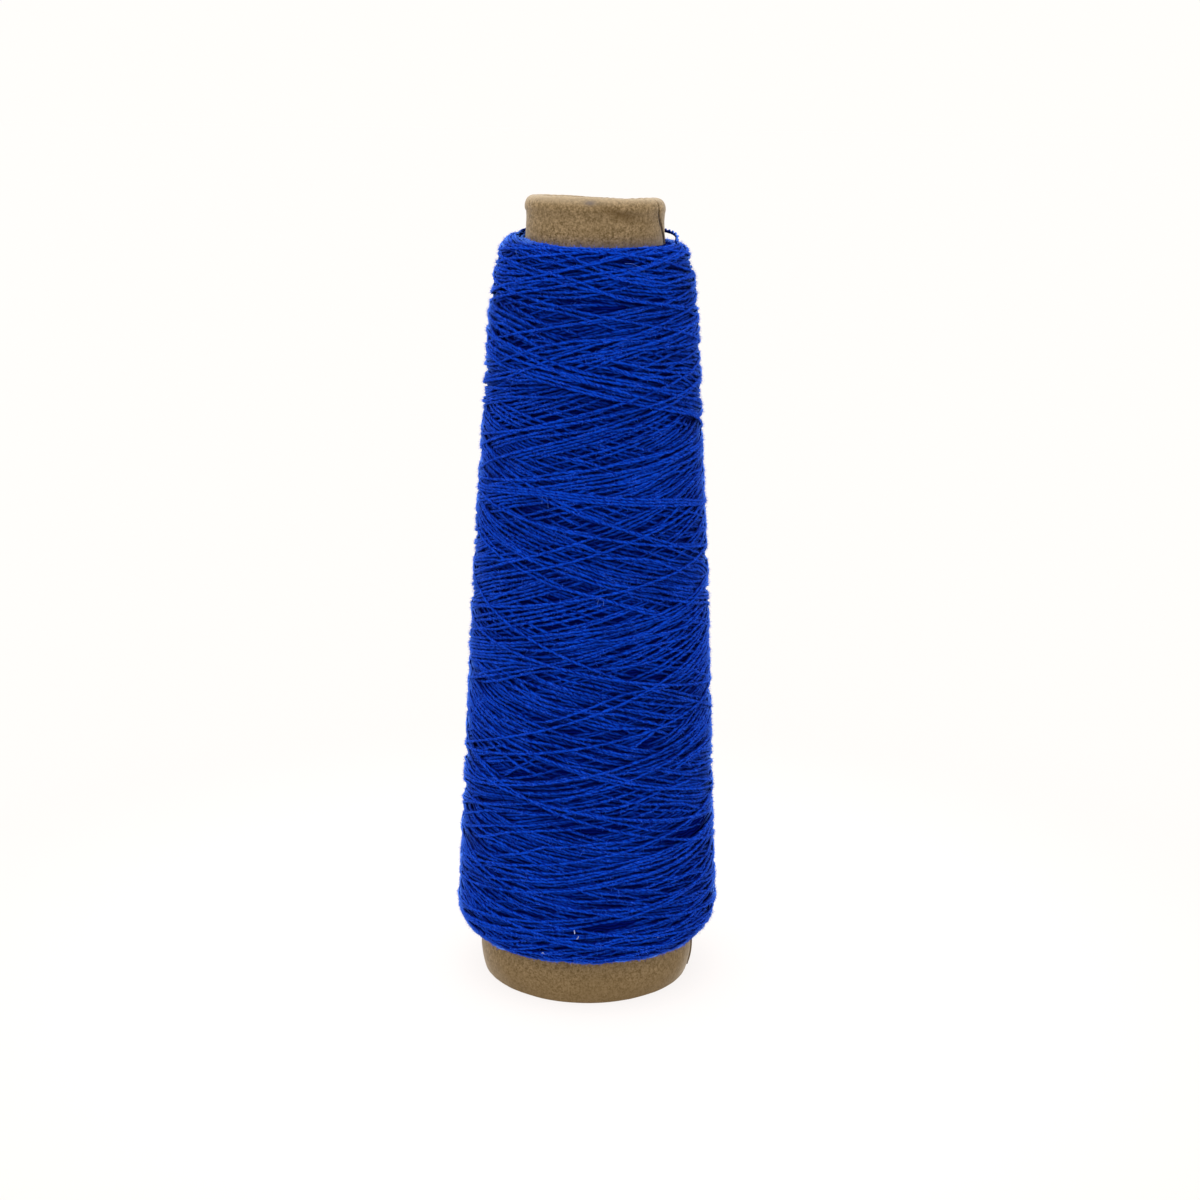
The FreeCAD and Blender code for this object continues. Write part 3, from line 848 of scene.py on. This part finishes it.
paper = {
    # mm
    "length": 170.0, "footRadius": 24.1, "noseRadius": 13.9, "wall": 1.8, "fold": 1.95, "proud": 0.6,
    "lipDepth": 6.0, "ply": 0.35, "footEdge": 0.5, "mouthEdge": 0.2,
    "seam": [                            # height in mm, bearing in degrees of the sheet's edge
        (0, -6), (8, -5), (150, -4), (160, -5), (162, -6.5), (165, -16.5), (166.5, -22), (167.6, -24.5),
        (170, -25),
    ],
    "tuck": 1.3,                         # by which the foot's worn edge is turned in
    "tuckHeight": 6.0,
    "rimLine": [                         # bearing in degrees, mm by which the rim stands above its height
        (0, 0.4), (30, 0.05), (60, -0.45), (90, -0.25), (120, 0.2), (150, 0.5), (180, 0.76), (210, 0.9),
        (240, 1.05), (270, 0.97), (300, 0.66), (330, 0.55),
    ],
    "seamShade": [(0, 0.6), (160, 0.95), (166.8, 0.95), (167.8, 0.35), (170, 0.2)],   # height, how dark the painted shade in the groove is
    "groove": 0.22,                      # beside the sheet's edge
    "columns": 340,
    "seed": 5,
    "wear": [(0.018, 90, 1.1), (0.055, 26, 4.0)],            # size, patches round, height of each
    "noseWear": (158, 164),              # heights between which it sets in
    "footWear": (12, 6),
    "rimRise": (163.5, 169.5),           # the same for the rim line
    # depth; bearing and width in degrees; height and half its thickness
    "frontDent": (0.28, -64, 20, 167.2, 0.75),
    "frontDentLean": 0.045,              # down for each degree to the right
    "leftDent": (0.30, 183, 14, 166.8, 0.5),
    "stain": (0.7, 266.5, 4.5, 169.1, 0.35),                 # the same, with how strong it is
    "swell": (0.08, 5, 48),              # on the right of the nose
    "swellLow": (156, 161),              # heights between which it sets in
    "swellHigh": (168.2, 165.7),         # and ends
    "frayed": (0.03, 120, 1.0),          # the rim's uneven edge
    "frayedFrom": 168,
    "paleRim": (169.0, 170.8),
    "threadMiddle": 86.3,
    "fluffReach": (74.7, 77.6),          # from there, up and down
    "colours": {
        "dark fibres": (0.100, 0.065, 0.026), "pale fibres": (0.355, 0.252, 0.137),
        # the foot and dent colours are painted shade: low on the paper and in the front dent
        "clouds": (0.178, 0.122, 0.057), "footShade": (0.130, 0.082, 0.033), "dent": (0.115, 0.070, 0.026),
        "rim": (0.42, 0.34, 0.235), "fluff": (0.085, 0.082, 0.125), "stain": (0.100, 0.092, 0.105),
        # the seam colour is painted shade in the groove at the sheet's edge, with blue fibres caught there
        "seam": (0.010, 0.009, 0.016),
    },
}


def seamBearing(height):
    return np.radians(np.interp(height, *np.array(paper["seam"]).T))


def paperOutline():
    # radius, height and how much of the spiral shows, once round the wall's section
    slope = (paper["footRadius"] - paper["noseRadius"]) / paper["length"]

    def wall(height, inward=0.0):
        tuck = paper["tuck"] * max(0.0, 1 - height / paper["tuckHeight"]) ** 2
        return paper["footRadius"] - slope * height - tuck - inward * math.hypot(1, slope)

    beadHeight = paper["length"] - paper["fold"]
    beadRadius = paper["noseRadius"] + paper["proud"] - paper["fold"]
    footRise, noseStart, beadStart = 14.0, paper["noseWear"][0], 165.9
    rows = [(wall(0) - paper["footEdge"] - 0.25, 0.0, 0.6)]
    rows += [(wall(0.5) - 0.5 * (1 - math.sin(t)), 0.5 * (1 - math.cos(t)), 1.0) for t in (0.5, 1.0, 1.3)]
    rows += [(wall(z), z, 1.0) for z in np.arange(0.6, footRise, 0.45)]
    rows += [(wall(z), z, 1.0) for z in np.arange(footRise, noseStart, 6.0)]
    rows += [(wall(z), z, 1.0) for z in np.arange(noseStart, beadStart, 0.4)]
    for angle in np.radians(np.arange(-25, 181, 9)):
        share = min(1.0, max(0.0, (math.radians(110) - angle) / math.radians(60)))
        radius = beadRadius + paper["fold"] * math.cos(angle)
        height = beadHeight + paper["fold"] * math.sin(angle)
        if angle < 0:
            radius = max(radius, wall(height))
        rows.append((radius, height, share))
    inside = beadRadius - paper["fold"]
    lipEnd = paper["length"] - paper["lipDepth"]
    rows += [(inside, z, 0.0) for z in np.arange(beadHeight - 0.4, lipEnd + 0.3, -0.5)]
    rows += [(inside + 0.15, lipEnd, 0.0), (wall(lipEnd, paper["wall"]) - 0.15, lipEnd, 0.0)]
    rows += [(wall(z, paper["wall"]), z, 0.0) for z in np.arange(lipEnd - 0.3, 8.0, -5.0)]
    rows += [(wall(z, paper["wall"]), z, 0.0) for z in np.arange(7.0, 0.5, -1.0)]
    rows += [(wall(0.2, paper["wall"]), 0.2, 0.0), (wall(0, paper["wall"]) + paper["mouthEdge"], 0.0, 0.0)]
    return np.array(rows)


def valueNoise(chance, angle, height, cellsRound, cellHeight, tallest=200):
    # smooth random values over the bearing and the height
    down = int(tallest / cellHeight) + 3
    grid = chance.normal(0, 1, (down, cellsRound))
    u = angle / (2 * np.pi) % 1 * cellsRound
    v = np.broadcast_to(height / cellHeight, u.shape)
    i, j = np.floor(v).astype(int), np.floor(u).astype(int)
    s, t = v - i, u - j
    s, t = eased(s), eased(t)
    a, b = j % cellsRound, (j + 1) % cellsRound
    lower = grid[i, a] * (1 - t) + grid[i, b] * t
    upper = grid[i + 1, a] * (1 - t) + grid[i + 1, b] * t
    return lower * (1 - s) + upper * s


def degreesFrom(angle, bearing):
    # the shorter way round from a bearing
    return np.degrees(np.angle(np.exp(1j * (angle - math.radians(bearing)))))


def bumpAt(away, width):
    # 1 in the middle, and almost nothing from twice the width on
    return np.exp(-(away / width) ** 2)


def makePaperMaterial():
    # brown board of pale and dark fibres, paler along the top of the rim, with painted shade at the foot
    # and in the front dent
    material, tree, shader = newMaterial(
        "paperBoard", Roughness=0.95, Specular_IOR_Level=0.08, Sheen_Weight=0.42, Sheen_Roughness=0.35,
        Sheen_Tint=(1.0, 0.93, 0.80, 1.0),
    )
    colours = paper["colours"]
    places = objectPlaces(tree)
    height = xyz(tree, places)["Z"]
    fine = noise(tree, places, 2900.0, 3.0, 0.6)
    coarse = noise(tree, places, 1400.0, 2.0)
    cloud = noise(tree, places, 130.0, 2.0)
    speckle = maths(tree, "ADD", maths(tree, "MULTIPLY", fine, 0.6), maths(tree, "MULTIPLY", coarse, 0.4))
    base = mixColour(
        tree, rescale(tree, speckle, 0.40, 0.62), colours["dark fibres"], colours["pale fibres"]
    )
    # painted shade on the paper below its middle, strongest at the floor
    nearFloor = rescale(tree, height, 0.0, 10 * mm, 0.75, 0.25)
    footShadeShare = maths(tree, "MULTIPLY", nearFloor, maths(tree, "LESS_THAN", height, 80 * mm))
    atRim = rescale(tree, height, *(z * mm for z in paper["paleRim"]), 0.0, 0.5, smooth=True)

    # blue fluff clings to the paper at both ends of the winding
    fromMiddle = maths(tree, "ABSOLUTE", maths(tree, "SUBTRACT", height, paper["threadMiddle"] * mm))
    atThread = rescale(tree, fromMiddle, *(z * mm for z in paper["fluffReach"]), 1.0, 0.0)
    clings = rescale(tree, fine, 0.38, 0.60, 0.25, 1.0)
    layers = {
        "clouds": rescale(tree, cloud, 0.35, 0.65, 0.0, 0.35),
        # painted shade low on the paper
        "footShade": footShadeShare,
        # painted shade in the front dent
        "dent": maths(tree, "MULTIPLY", attribute(tree, "frontDentAndShade"), 0.85),
        "rim": atRim,
        "fluff": maths(tree, "MULTIPLY", maths(tree, "MULTIPLY", atThread, atThread), clings),
        "stain": attribute(tree, "stain"),
        "seam": attribute(tree, "seam"),
    # painted shade in the groove at the sheet's edge
    }
    for name, share in layers.items():
        base = mixColour(tree, share, base, colours[name])
    feed(tree, shader.inputs["Base Color"], base)
    feed(tree, shader.inputs["Normal"], bump(tree, speckle, 0.12 * mm, 0.7))
    return material


def makePaperCone():
    outline = paperOutline()
    radius, height, share = (outline[:, k:k + 1] for k in range(3))
    low, high = 0.45, 0.8                # degrees from the groove to either side of the seam
    main = np.radians(np.linspace(low, 360 - high, paper["columns"]))
    turned = np.concatenate([[0.0], main])[None, :]
    lift = paper["ply"] * (0.5 - turned / (2 * np.pi))
    lift[0, 0] = -0.5 * paper["ply"] - paper["groove"]
    angle = seamBearing(height) + turned
    chance = np.random.default_rng(paper["seed"])
    worn = sum(size * valueNoise(chance, angle, height, *cells) for size, *cells in paper["wear"])
    nearNose = ramp(height, *paper["noseWear"])
    worn = worn * np.clip(1.6 * nearNose + ramp(height, *paper["footWear"]), 0, 1)

    def patch(bearing, width, middle, thickness, lean=0.0):
        away = degreesFrom(angle, bearing)
        return bumpAt(away, width) * bumpAt(height - middle + lean * away, thickness)

    frontDepth, *front = paper["frontDent"]
    leftDepth, *left = paper["leftDent"]
    # the front dent's share: it sinks the paper, and the material paints shade in it
    frontDentAndShade = patch(*front, paper["frontDentLean"])
    dent = -frontDepth * frontDentAndShade - leftDepth * patch(*left)
    outside = np.clip(share * 2, 0, 1)
    swell, bearing, width = paper["swell"]
    swell = swell * bumpAt(degreesFrom(angle, bearing), width)
    swell = swell * ramp(height, *paper["swellLow"]) * ramp(height, *paper["swellHigh"])

    # the step at the sheet's edge is pressed flatter on the rim
    step = share * lift * np.interp(height, [167.0, 168.2], [1.0, 0.3])
    away = radius + step + outside * (worn + dent + swell)
    bearing, rise = np.array(paper["rimLine"]).T
    rise = np.interp(np.degrees(angle) % 360, bearing, rise, period=360)
    lifted = height + rise * ramp(height, *paper["rimRise"]) ** 2
    size, *cells = paper["frayed"]
    fray = size * nearNose * valueNoise(chance, angle, height, *cells)
    lifted = lifted + fray * (height > paper["frayedFrom"])
    rings = np.stack([away * np.cos(angle), away * np.sin(angle), np.maximum(lifted, 0)], -1) * mm
    mesh = revolve("paper_skin", rings)
    # painted shade along the groove at the sheet's edge, fainter on the rim
    seam = np.zeros(rings.shape[:2])
    dark = np.interp(height[:, 0], *np.array(paper["seamShade"]).T)
    seam[:, 0] = (share[:, 0] > 0.3) * dark
    seam[:, 1] = 0.3 * seam[:, 0]
    setAttribute(mesh, "seam", seam)
    stained, *stainPlace = paper["stain"]
    setAttribute(mesh, "stain", stained * patch(*stainPlace))
    setAttribute(mesh, "frontDentAndShade", frontDentAndShade)
    piece = addObject("paper_skin", mesh)
    mesh.materials.append(makePaperMaterial())
    return piece


paperSkin = makePaperCone()
print(f"paper cone: {len(paperSkin.data.polygons) * 2} triangles")

# the down of loose fibre ends over the thread

down = {
    "pieces": 2,
    "hairs": 45000,                      # in each piece
    "thickness": 0.055 * mm,             # at the root
    "root": 0.20 * mm,                   # from the strand's middle, outward
    "length": (0.3 * mm, 1.0 * mm),
    "seed": 4,
    "colour": (0.014, 0.085, 0.60),
}


def makeDownTree():
    # one thin three-sided spike on each point, aimed and turned at random
    tree, start, end = newTree("looseFibres", {
        "Thickness": down["thickness"], "Shortest": down["length"][0], "Longest": down["length"][1],
        "Seed": down["seed"],
    })
    given = start.outputs
    spike = node(tree, "GeometryNodeMeshCone", {"Vertices": 3, "Radius Bottom": 0.5, "Depth": 1.0})
    aligned = node(tree, "FunctionNodeAlignRotationToVector", {
        "Vector": storedValue(tree, "aim", "FLOAT_VECTOR"),
    }, axis="Z")
    spin = node(tree, "FunctionNodeRandomValue", {"Seed": given["Seed"], 3: 2 * math.pi}, data_type="FLOAT")
    about = node(tree, "FunctionNodeAxisAngleToRotation", {
        "Axis": (0.0, 0.0, 1.0), "Angle": spin.outputs[1],
    })
    both = node(tree, "FunctionNodeRotateRotation", {
        0: aligned.outputs[0], 1: about.outputs[0],
    }, rotation_space="LOCAL")
    length = node(tree, "FunctionNodeRandomValue", {
        2: given["Shortest"], 3: given["Longest"], "Seed": maths(tree, "ADD", given["Seed"], 1.0),
    }, data_type="FLOAT")
    spikes = node(tree, "GeometryNodeInstanceOnPoints", {
        "Points": given["Geometry"], "Instance": spike.outputs["Mesh"], "Rotation": both.outputs[0],
        "Scale": combined(tree, given["Thickness"], given["Thickness"], length.outputs[1]),
    })
    return finishTree(tree, end, spikes.outputs[0], hairMaterial)


def makeHairMaterial():
    material, tree, shader = newMaterial("looseFibre", Roughness=0.8, Specular_IOR_Level=0.1)
    paler = tuple(min(1.0, value * 1.7 + 0.02) for value in down["colour"])
    shade = rescale(tree, noise(tree, objectPlaces(tree), 260.0, 1.0), 0.4, 0.65)
    feed(tree, shader.inputs["Base Color"], mixColour(tree, shade, down["colour"], paler))
    return material


hairMaterial = makeHairMaterial()


def layHairUv(mesh):
    # a flat map for exports: a cell for each hair, its tip in the middle of the three root points
    corner = np.empty(len(mesh.loops), int)
    mesh.loops.foreach_get("vertex_index", corner)
    hair, point = corner // 4, corner % 4
    across = math.ceil(math.sqrt(hair.max() + 1))
    inCell = np.array([(0.5, 0.4), (0.1, 0.1), (0.9, 0.1), (0.5, 0.9)])[point]
    uv = (np.stack([hair % across, hair // across], 1) + inCell) / across
    mesh.uv_layers.new(name="OFBake").data.foreach_set("uv", uv.ravel())


def makeDown(number, tree):
    # hairs start on strands near the outside and lean along them and outward
    chance = np.random.default_rng(down["seed"] + number)
    points = np.concatenate([run[0][1:-1] for run in runs])
    depth = np.concatenate([run[1][1:-1] for run in runs])
    out = np.concatenate([run[2][1:-1] for run in runs])
    way = np.concatenate([run[0][2:] - run[0][:-2] for run in runs])
    picked = chance.choice(np.flatnonzero(depth < 0.3), down["hairs"])
    way = way[picked] / np.linalg.norm(way[picked], axis=1)[:, None]
    side = np.cross(way, out[picked])
    mix = chance.normal(0, 1, (down["hairs"], 2))
    aim = out[picked] * chance.uniform(0.3, 1.3, (down["hairs"], 1))
    aim = aim + way * mix[:, :1] * 0.8 + side * mix[:, 1:] * 0.6
    sideways = chance.uniform(-0.28, 0.28, (down["hairs"], 1)) * mm
    starts = points[picked] + out[picked] * down["root"] + side * sideways
    name = f"down_{number}"
    mesh = meshFrom(name, starts)
    setAttribute(mesh, "aim", aim)
    piece = runTree(tree, name, mesh, {"Seed": down["seed"] + 10 * number})
    layHairUv(piece.data)
    return piece


downTree = makeDownTree()
downPieces = [makeDown(number, downTree) for number in range(1, down["pieces"] + 1)]
print(f"down: {sum(len(piece.data.polygons) for piece in downPieces)} faces")

# a few longer fibres and pale specks that lie on the thread

strays = {
    # bearing in degrees, height in mm, mm above the thread
    "fibres": [
        [
            (288.2, 158.5, 0.1), (292.5, 158.4, 0.5), (294.3, 158.1, 0.6), (296.7, 157.8, 0.6),
            (299.1, 157.4, 0.5), (299.8, 156.7, 0.1),
        ],
        [(215.6, 160.5, 0.1), (215.8, 160.1, 0.5), (217.0, 159.7, 0.5), (218.6, 159.2, 0.1)],
        [
            (245.5, 110.2, 0.1), (246.0, 111.6, 0.6), (247.5, 111.9, 0.7), (248.6, 110.9, 0.6),
            (249.0, 109.4, 0.1),
        ],
        [
            (273.6, 90.0, 0.1), (274.2, 91.2, 0.6), (275.6, 91.4, 0.7), (276.4, 90.4, 0.5),
            (276.2, 89.6, 0.1),
        ],
    ],
    "specks": [
        [(265.0, 19.7, 0.5), (265.2, 19.3, 0.6), (265.2, 18.9, 0.5)],
        [(266.9, 18.4, 0.5), (266.6, 18.0, 0.6), (266.1, 17.7, 0.4)],
        [(251.8, 13.4, 0.5), (251.0, 13.7, 0.6), (250.4, 13.1, 0.4)],
        [(302.0, 16.7, 0.5), (302.2, 16.4, 0.4)],
    ],
    "widths": {"fibres": 0.06 * mm, "specks": 0.20 * mm},
    "colours": {"fibres": (0.075, 0.17, 0.68), "specks": (0.36, 0.42, 0.72)},
}


def makeStrays():
    pieces = []
    for kind, width in strays["widths"].items():
        material, tree, shader = newMaterial(f"stray_{kind}", Roughness=0.8, Specular_IOR_Level=0.2)
        shade = rescale(tree, noise(tree, objectPlaces(tree), 900.0, 1.0), 0.4, 0.6)
        colour = strays["colours"][kind]
        darker = tuple(value * 0.6 for value in colour)
        feed(tree, shader.inputs["Base Color"], mixColour(tree, shade, darker, colour))
        paths = []
        for waypoints in strays[kind]:
            line = evenPoints(smoothLine(waypoints, 8) * (1, 10, 10), 0.8) / (1, 10, 10)
            along = stationAt(line[:, 1] * mm)
            turned = line[:, 0] / 360
            points, out = inSpace(turned, along, skinAt(turned, along) + line[:, 2] * mm)
            paths.append((points, np.zeros(len(points)), out))
        values = {"Strand width": width, "Ply thickness": width * 0.6, "Waist": width}
        piece = runTree(strandTree, f"stray_{kind}", pathMesh(f"stray_{kind}", paths), values)
        piece.data.materials.clear()
        piece.data.materials.append(material)
        layUv(piece.data, rings=40, proportion=4)
        pieces.append(piece)
    return pieces


strayPieces = makeStrays()
print("stray fibres made")

# studio: a pale lit table, and a light that comes mostly from above

studio = {
    "reach": 9,                          # metres, half the table's side
    "table": (0.16, 0.157, 0.15),
    "glow": (0.82, 0.795, 0.79),         # from inside the table, round the cone
    "glowFar": 0.885,                    # times that, beyond the cone's shade
    "glowReach": (0.05, 0.18),           # metres from the cone, between which it changes
    "horizon": (1.02, 0.991, 0.965),
    "above": 2.3,                        # times the light of the horizon
    "fromLeft": 0.30,                    # more light from above on the left, less on the right
}


def makeStudio():
    reach = studio["reach"]
    corners = [(-reach, -reach, 0), (reach, -reach, 0), (reach, reach, 0), (-reach, reach, 0)]
    floor = addObject("floor", meshFrom("floor", corners, faces=[(0, 1, 2, 3)]))
    material, tree, shader = newMaterial(
        "litTable", Roughness=1.0, Specular_IOR_Level=0.0,
        Base_Color=(*studio["table"], 1.0), Emission_Color=(*studio["glow"], 1.0),
    )
    fromCone = vectors(tree, "LENGTH", objectPlaces(tree))
    glow = rescale(tree, fromCone, *studio["glowReach"], 1.0, studio["glowFar"], smooth=True)
    feed(tree, shader.inputs["Emission Strength"], glow)
    floor.data.materials.append(material)
    world = bpy.data.worlds.new("studio")
    bpy.context.scene.world = world
    world.use_nodes = True
    tree = world.node_tree
    sky = tree.nodes["Background"]
    place = xyz(tree, node(tree, "ShaderNodeTexCoord").outputs["Generated"])
    upward = rescale(tree, place["Z"], 0.05, 1.0, 1.0, studio["above"])
    sideways = rescale(tree, place["X"], -1.0, 1.0, 1 + studio["fromLeft"], 1 - studio["fromLeft"])
    strength = maths(tree, "MULTIPLY_ADD", maths(tree, "SUBTRACT", upward, 1.0), sideways, 1.0)
    feed(tree, sky.inputs["Strength"], strength)
    feed(tree, sky.inputs["Color"], studio["horizon"])
    bpy.context.scene.view_settings.view_transform = "Standard"


makeStudio()
print("studio made")

# what each piece rides on, and the imported parts hidden in their place

for piece in winding + downPieces + strayPieces + [woundCore, tailPiece]:
    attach(piece, "root")
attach(paperSkin, "root")
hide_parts("paper_cone")
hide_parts("thread_package")
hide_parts("outer_winding")
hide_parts("thread_tail")
